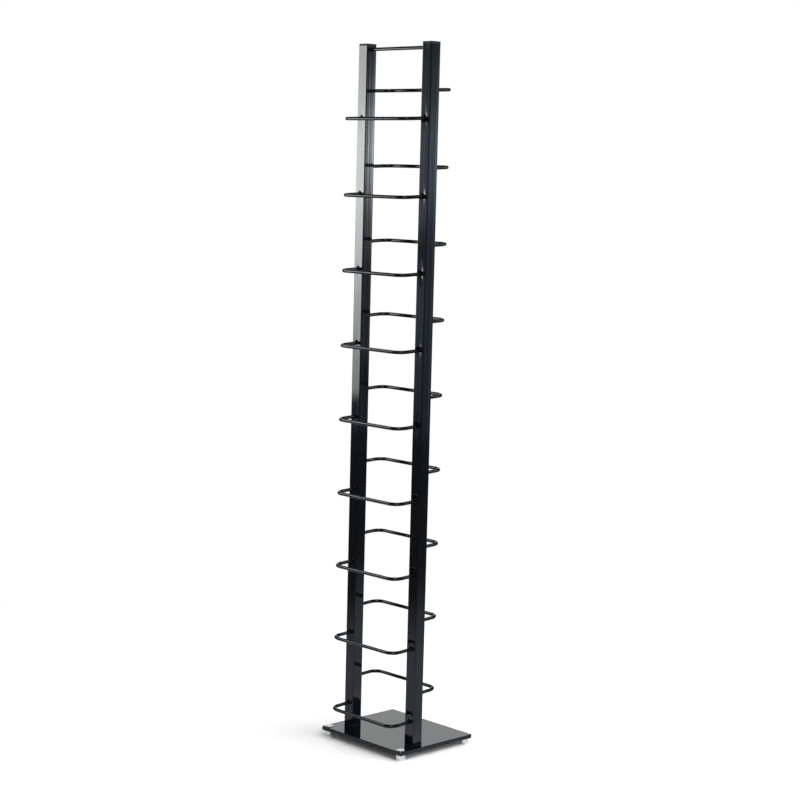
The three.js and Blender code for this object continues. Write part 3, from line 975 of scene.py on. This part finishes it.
def add_camera(studio):
    """The camera at the photograph's place."""
    data = bpy.data.cameras.new("photo_camera")
    data.lens = studio.focal * data.sensor_width / studio.image
    half = studio.image / 2
    data.shift_x = (half - studio.centre[0]) / studio.image
    data.shift_y = (studio.centre[1] - half) / studio.image
    camera = bpy.data.objects.new("photo_camera", data)
    right, up, back = camera_axes(studio)
    turn = Matrix((right, up, back)).transposed().to_4x4()
    place = Vector(studio.place) + Vector((0, post_line(), 0))
    camera.matrix_world = Matrix.Translation(place) @ turn
    bpy.context.scene.collection.objects.link(camera)
    bpy.context.scene.camera = camera


def wall_light(tree, studio, direction, slope):
    """The studio's walls: a bright band at each side, cool, and uneven from side to side."""
    left_wall = ramp_of(tree, slope, WALL_LOW, WALL_HIGH, LEFT_WALL)
    right_wall = ramp_of(tree, slope, WALL_LOW, WALL_HIGH, RIGHT_WALL)
    to_right = camera_axes(studio)[0]
    rightward = add_node(tree, "ShaderNodeVectorMath", DOT, _0=direction, _1=to_right)
    side = add_node(tree, "ShaderNodeMapRange", Value=rightward, From_Min=-WALL_SEAM, From_Max=WALL_SEAM)
    grey = add_node(tree, "ShaderNodeMix", COLOUR_MIX, _0=side, _6=left_wall, _7=right_wall)
    tinted = add_node(tree, "ShaderNodeVectorMath", MULTIPLY, _0=grey, _1=WALL_TINT)
    # The patches bring out the draw lines of the tubes
    stretched = add_node(tree, "ShaderNodeMapping", Vector=direction, Scale=(1, 1, PATCH_STRETCH))
    uneven = add_node(tree, "ShaderNodeTexNoise", Vector=stretched, Scale=PATCH_SCALE, Detail=2)
    patch = add_node(
        tree, "ShaderNodeMapRange", Value=uneven, From_Min=0.35, From_Max=0.65, To_Min=PATCH_LOW,
        To_Max=PATCH_HIGH,
    )
    return add_node(tree, "ShaderNodeVectorMath", SCALE, _0=tinted, Scale=patch)


def gloss_light(tree, studio, direction):
    """What gloss sees: walls, a soft box, dark flags and a white backdrop."""
    slope = add_node(tree, "ShaderNodeSeparateXYZ", Vector=direction).outputs["Z"]
    walls = wall_light(tree, studio, direction, slope)
    heading = math.radians(studio.heading)
    ahead = Vector((-math.sin(heading), math.cos(heading), 0))
    forward = add_node(tree, "ShaderNodeVectorMath", DOT, _0=direction, _1=ahead)
    # Dark flags beside the backdrop and the camera give the gloss its dark outlines and corners
    off_side = add_node(tree, "ShaderNodeMath", ABSOLUTE, _0=forward)
    flags = add_node(
        tree, "ShaderNodeMapRange", Value=off_side, From_Min=FLAG_START, From_Max=FLAG_END, To_Min=1.0,
        To_Max=FLAG_SHARE,
    )
    flagged = add_node(tree, "ShaderNodeVectorMath", SCALE, _0=walls, Scale=flags)
    # The soft box over the camera shows as a glint on the bends of the wires
    lamp = (LAMP_RISE * UP - ahead).normalized()
    toward = add_node(tree, "ShaderNodeVectorMath", DOT, _0=direction, _1=lamp)
    glint = add_node(
        tree, "ShaderNodeMapRange", Value=toward, From_Min=LAMP_START, From_Max=LAMP_END,
        To_Max=LAMP_STRENGTH,
    )
    sides = add_node(tree, "ShaderNodeVectorMath", {"operation": "ADD"}, _0=flagged, _1=glint)
    facing = add_node(
        tree, "ShaderNodeMapRange", Value=forward, From_Min=BACKDROP_START, From_Max=BACKDROP_END
    )
    steep = add_node(tree, "ShaderNodeMath", ABSOLUTE, _0=slope)
    backdrop = add_node(
        tree, "ShaderNodeMapRange", Value=steep, From_Min=BACKDROP_FULL, From_Max=BACKDROP_GONE,
        To_Min=facing, To_Max=0.0,
    )
    return add_node(tree, "ShaderNodeMix", COLOUR_MIX, _0=backdrop, _6=sides, _7=WHITE)


def matt_light(tree, studio, direction):
    """The light on matt surfaces. Half of it is a soft key, so the shadow is wider on the left."""
    toward = add_node(tree, "ShaderNodeVectorMath", DOT, _0=direction, _1=studio.key_side)
    share = add_node(
        tree, "ShaderNodeMapRange", SMOOTH, Value=toward, From_Min=KEY_START, From_Max=KEY_END,
        To_Min=KEY_LOW, To_Max=KEY_HIGH,
    )
    return add_node(tree, "ShaderNodeVectorMath", SCALE, _0=studio.surround, Scale=share)


def set_world(studio):
    """White to the camera, soft light on matt surfaces, and a studio in the gloss."""
    world = bpy.data.worlds.new("studio")
    bpy.context.scene.world = world
    world.use_nodes = True
    tree = world.node_tree
    tree.nodes.clear()
    direction = add_node(tree, "ShaderNodeTexCoord").outputs["Generated"]
    rays = add_node(tree, "ShaderNodeLightPath").outputs
    matt = matt_light(tree, studio, direction)
    gloss = gloss_light(tree, studio, direction)
    seen = add_node(tree, "ShaderNodeMix", COLOUR_MIX, _0=rays["Is Camera Ray"], _6=matt, _7=WHITE)
    lit = add_node(tree, "ShaderNodeMix", COLOUR_MIX, _0=rays["Is Glossy Ray"], _6=seen, _7=gloss)
    background = add_node(tree, "ShaderNodeBackground", Color=lit)
    add_node(tree, "ShaderNodeOutputWorld", Surface=background)


def card_glow(tree, edge, outward, fade, stops, strength, tint):
    """The glow of a light card. Its strength follows the height and fades in from the card's edge."""
    place = add_node(tree, "ShaderNodeTexCoord").outputs["Object"]
    height = add_node(tree, "ShaderNodeSeparateXYZ", Vector=place).outputs["Z"]
    grey = ramp_of(tree, height, stops[0][0], stops[-1][0], stops)
    level = add_node(tree, "ShaderNodeVectorMath", MULTIPLY, _0=grey, _1=tint)
    across = add_node(tree, "ShaderNodeVectorMath", DOT, _0=place, _1=outward)
    start = edge.dot(outward)
    share = add_node(
        tree, "ShaderNodeMapRange", Value=across, From_Min=start, From_Max=start + fade, To_Max=strength
    )
    return add_node(tree, "ShaderNodeEmission", Color=level, Strength=share)


def mirror_direction(camera, place, axis):
    """The direction that a ray from the camera takes after an upright face square to the axis."""
    ray = (place - camera).normalized()
    ray[axis] = -ray[axis]
    return ray


def add_card(name, axis, share, width, fade, strength, tint, slopes):
    """A tall light that a face of the left post mirrors and the right post doesn't. Only gloss sees it."""
    camera = bpy.context.scene.camera.location
    posts = [Vector((*node_centre(f"post_{side}").xy, camera.z)) for side in SIDES]
    rays = [mirror_direction(camera, post, axis) for post in posts]
    hits = [post + CARD_DISTANCE * ray for post, ray in zip(posts, rays)]
    span = hits[0] - hits[1]
    level = Vector((span.x, span.y, 0)).normalized()
    outward = (level - rays[0] * level.dot(rays[0])).normalized()
    edge = hits[0] - span * share
    reach = CARD_DISTANCE + (posts[0] - camera).length
    stops = [(camera.z + slope * reach, grey) for slope, grey in slopes]
    foot = Vector((*edge.xy, stops[0][0]))
    head = Vector((*edge.xy, stops[-1][0]))
    bm = bmesh.new()
    corners = [foot, foot + width * outward, head + width * outward, head]
    bm.faces.new([bm.verts.new(corner) for corner in corners])
    look = (edge, outward, fade, stops, strength, tint)
    card = stage_object(bm, name, make_material(card_glow, *look, name=f"{name}_light"))
    for kind in ("camera", "diffuse", "shadow", "transmission"):
        setattr(card, f"visible_{kind}", False)


class TOWER_OT_stage(bpy.types.Operator):
    """Makes the floor, the surroundings, the lights and the camera"""

    bl_idname = "tower.stage"
    bl_label = "Stage"

    def execute(self, context):
        studio = context.scene.tower_studio
        context.scene.view_settings.view_transform = "Standard"
        bm = bmesh.new()
        bmesh.ops.create_circle(bm, cap_ends=True, segments=FLOOR_SIDES, radius=studio.floor_radius)
        stage_object(bm, "floor", make_material(white_paper_floor, studio))
        add_camera(studio)
        set_world(studio)
        for name, card in CARDS.items():
            add_card(name, **card)
        return {"FINISHED"}


OPERATORS = (
    TOWER_OT_posts, TOWER_OT_caps, TOWER_OT_rail, TOWER_OT_hoops, TOWER_OT_glass, TOWER_OT_feet,
    TOWER_OT_fixings, TOWER_OT_stage,
)


class TOWER_PT_panel(bpy.types.Panel):
    """Lists the tower's pieces"""

    bl_idname = "TOWER_PT_panel"
    bl_label = "Disc storage tower"
    bl_space_type = "VIEW_3D"
    bl_region_type = "UI"
    bl_category = "Tower"

    def draw(self, context):
        for operator in OPERATORS:
            self.layout.operator(operator.bl_idname)


GROUPS = {"tower_sizes": TowerSizes, "tower_finish": TowerFinish, "tower_studio": TowerStudio}


def register():
    for group in GROUPS.values():
        bpy.utils.register_class(group)
    for operator in OPERATORS:
        bpy.utils.register_class(operator)
    bpy.utils.register_class(TOWER_PT_panel)
    for name, group in GROUPS.items():
        setattr(bpy.types.Scene, name, bpy.props.PointerProperty(type=group))


def unregister():
    for name in GROUPS:
        delattr(bpy.types.Scene, name)
    bpy.utils.unregister_class(TOWER_PT_panel)
    for operator in reversed(OPERATORS):
        bpy.utils.unregister_class(operator)
    for group in reversed(GROUPS.values()):
        bpy.utils.unregister_class(group)


def main():
    """Builds the tower and its studio."""
    register()
    for operator in OPERATORS:
        family, name = operator.bl_idname.split(".")
        getattr(getattr(bpy.ops, family), name)()


if __name__ == "__main__":
    main()
